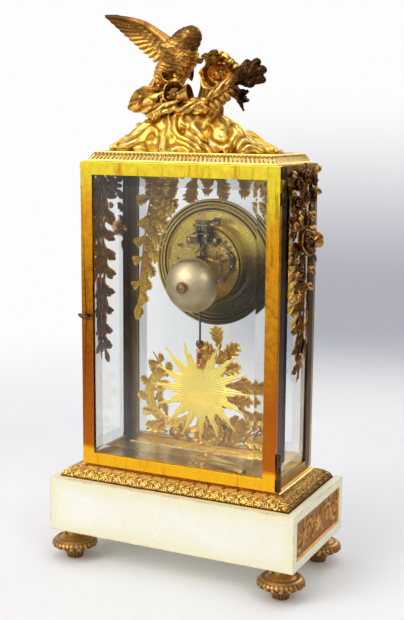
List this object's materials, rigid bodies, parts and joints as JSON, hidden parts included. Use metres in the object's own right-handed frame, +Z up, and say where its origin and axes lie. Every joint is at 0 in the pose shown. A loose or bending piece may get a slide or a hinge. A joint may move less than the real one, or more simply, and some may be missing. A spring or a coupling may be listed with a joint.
{
  "type": "cage clock",
  "caption": "Glazed brass cage clock on a marble plinth, with opening doors, swinging sunburst pendulum, striking movement and a dove finial",
  "frame": {"origin": "middle of the rectangle of the four feet, on the surface that they stand on", "axes": "+Z up, dial and front door towards -Y, rear door towards +Y, +X to the right of the dial"},
  "size_m": [0.285, 0.155, 0.5644],
  "materials": {
    "gilt_bronze": "antique gilding, bright on the high points and dark in the recesses",
    "dark_gilt": "worn gilding over brown bronze",
    "lacquered_brass": "orange lacquer, lightly scratched",
    "polished_brass": "polished with a soft lacquer tone",
    "sun_gilding": "bright matt gilding",
    "blued_steel": "dark tempered steel",
    "bell_metal": "silvered bell metal, turned",
    "white_marble": "warm white polished marble, faint veins",
    "bevelled_glass": "clear plate glass with ground bevels",
    "enamel": "white enamel with plain numerals"
  },
  "bodies": {
    "case": {"foot_front_left": "dark_gilt", "foot_front_right": "dark_gilt", "foot_rear_left": "dark_gilt", "foot_rear_right": "dark_gilt", "marble_plinth": "white_marble", "side_friezes": "dark_gilt", "front_frieze": "dark_gilt", "base_moulding": "gilt_bronze", "bottom_frame": "lacquered_brass", "floor_plate": "polished_brass", "post_front_left": "dark_gilt", "post_front_right": "dark_gilt", "post_rear_left": "dark_gilt", "post_rear_right": "dark_gilt", "side_glass_left": "bevelled_glass", "side_glass_right": "bevelled_glass", "top_frame": "lacquered_brass", "cornice": "gilt_bronze", "finial_rock": "gilt_bronze", "finial_bird": "gilt_bronze", "finial_wing": "gilt_bronze", "finial_basket": "gilt_bronze", "finial_torch": "dark_gilt", "side_garland_left": "dark_gilt", "side_garland_right": "dark_gilt", "front_garland": "gilt_bronze", "front_trophy": "gilt_bronze", "hinge_pins": "polished_brass", "dial_bezel": "polished_brass", "dial": "enamel", "drum": "polished_brass", "front_plate": "polished_brass", "back_plate": "polished_brass", "back_cock": "blued_steel", "bell_stand": "blued_steel", "bell": "bell_metal", "winding_key": "polished_brass"},
    "rear_door": {"rear_door_frame": "lacquered_brass", "rear_door_glass": "bevelled_glass"},
    "rear_latch": {"rear_latch": "polished_brass"},
    "front_door": {"front_door_frame": "lacquered_brass", "front_door_glass": "bevelled_glass"},
    "front_latch": {"front_latch": "polished_brass"},
    "centre_arbor": {"centre_wheel": "polished_brass", "minute_hand": "blued_steel"},
    "hour_hand": {"hour_hand": "blued_steel"},
    "minute_wheel": {"minute_wheel": "polished_brass"},
    "intermediate_wheel": {"intermediate_wheel": "polished_brass"},
    "going_barrel": {"going_barrel": "polished_brass"},
    "third_wheel": {"third_wheel": "polished_brass"},
    "escape_wheel": {"escape_wheel": "polished_brass"},
    "strike_barrel": {"strike_barrel": "polished_brass"},
    "count_wheel": {"count_wheel": "polished_brass"},
    "going_winding_arbor": {"going_winding_arbor": "blued_steel"},
    "strike_winding_arbor": {"strike_winding_arbor": "blued_steel"},
    "hammer": {"hammer": "blued_steel"},
    "pendulum": {"pendulum_rod": "blued_steel", "sunburst_bob": "sun_gilding"},
    "anchor_crutch": {"anchor_crutch": "blued_steel"},
    "regulator_arbor": {"regulator_arbor": "blued_steel"}
  },
  "joints": [
    {"name": "rear_door_hinge", "type": "hinge", "parent": "case", "child": "rear_door", "pos_m": [-0.1109, 0.04745, 0.2613], "axis": [0, 0, 1], "range_deg": [0, 110]},
    {"name": "front_door_hinge", "type": "hinge", "parent": "case", "child": "front_door", "pos_m": [0.1109, -0.04745, 0.2613], "axis": [0, 0, 1], "range_deg": [0, 110]},
    {"name": "rear_latch_turn", "type": "hinge", "parent": "rear_door", "child": "rear_latch", "pos_m": [0.1015, 0.0502, 0.2613], "axis": [0, -1, 0], "range_deg": [0, 90]},
    {"name": "front_latch_turn", "type": "hinge", "parent": "front_door", "child": "front_latch", "pos_m": [-0.1015, -0.0502, 0.2613], "axis": [0, 1, 0], "range_deg": [0, 90]},
    {"name": "minute_turn", "type": "hinge", "parent": "case", "child": "centre_arbor", "pos_m": [0, -0.03, 0.313], "axis": [0, 1, 0], "continuous": true},
    {"name": "hour_turn", "type": "hinge", "parent": "case", "child": "hour_hand", "pos_m": [0, -0.041, 0.313], "axis": [0, 1, 0], "continuous": true},
    {"name": "minute_wheel_turn", "type": "hinge", "parent": "case", "child": "minute_wheel", "pos_m": [0.0048, -0.039, 0.32131], "axis": [0, 1, 0], "continuous": true},
    {"name": "intermediate_turn", "type": "hinge", "parent": "case", "child": "intermediate_wheel", "pos_m": [0.01298, -0.027, 0.3156], "axis": [0, 1, 0], "continuous": true},
    {"name": "going_barrel_turn", "type": "hinge", "parent": "case", "child": "going_barrel", "pos_m": [0.019, -0.029, 0.299], "axis": [0, 1, 0], "continuous": true},
    {"name": "third_turn", "type": "hinge", "parent": "case", "child": "third_wheel", "pos_m": [-0.0079, -0.02, 0.32307], "axis": [0, 1, 0], "continuous": true},
    {"name": "escape_turn", "type": "hinge", "parent": "case", "child": "escape_wheel", "pos_m": [0, -0.03, 0.326], "axis": [0, 1, 0], "continuous": true},
    {"name": "strike_barrel_turn", "type": "hinge", "parent": "case", "child": "strike_barrel", "pos_m": [-0.019, -0.029, 0.299], "axis": [0, 1, 0], "continuous": true},
    {"name": "count_wheel_turn", "type": "hinge", "parent": "case", "child": "count_wheel", "pos_m": [-0.01298, -0.014, 0.3156], "axis": [0, 1, 0], "continuous": true},
    {"name": "going_winding_turn", "type": "hinge", "parent": "case", "child": "going_winding_arbor", "pos_m": [0.019, -0.04, 0.299], "axis": [0, 1, 0], "continuous": true},
    {"name": "strike_winding_turn", "type": "hinge", "parent": "case", "child": "strike_winding_arbor", "pos_m": [-0.019, -0.04, 0.299], "axis": [0, 1, 0], "continuous": true},
    {"name": "hammer_lift", "type": "hinge", "parent": "case", "child": "hammer", "pos_m": [-0.031, 0, 0.321], "axis": [0, 1, 0], "range_deg": [0, 14], "stiffness_Nm_per_rad": 0.01},
    {"name": "pendulum_swing", "type": "hinge", "parent": "case", "child": "pendulum", "pos_m": [0, -0.0065, 0.336], "axis": [0, 1, 0], "range_deg": [-4.5, 4.5]},
    {"name": "crutch_swing", "type": "hinge", "parent": "case", "child": "anchor_crutch", "pos_m": [0, -0.012, 0.336], "axis": [0, 1, 0], "range_deg": [-4.5, 4.5]},
    {"name": "regulator_turn", "type": "hinge", "parent": "case", "child": "regulator_arbor", "pos_m": [-0.005, -0.02, 0.3573], "axis": [0, 1, 0], "continuous": true}
  ],
  "couplings": [
    {"joint": "hour_turn", "follows": "minute_turn", "ratio": 0.083333},
    {"joint": "minute_wheel_turn", "follows": "minute_turn", "ratio": -0.33333},
    {"joint": "intermediate_turn", "follows": "minute_turn", "ratio": -0.16667},
    {"joint": "going_barrel_turn", "follows": "minute_turn", "ratio": 0.033333},
    {"joint": "third_turn", "follows": "minute_turn", "ratio": -12},
    {"joint": "count_wheel_turn", "follows": "strike_barrel_turn", "ratio": -5},
    {"joint": "crutch_swing", "follows": "pendulum_swing", "ratio": 1}
  ]
}
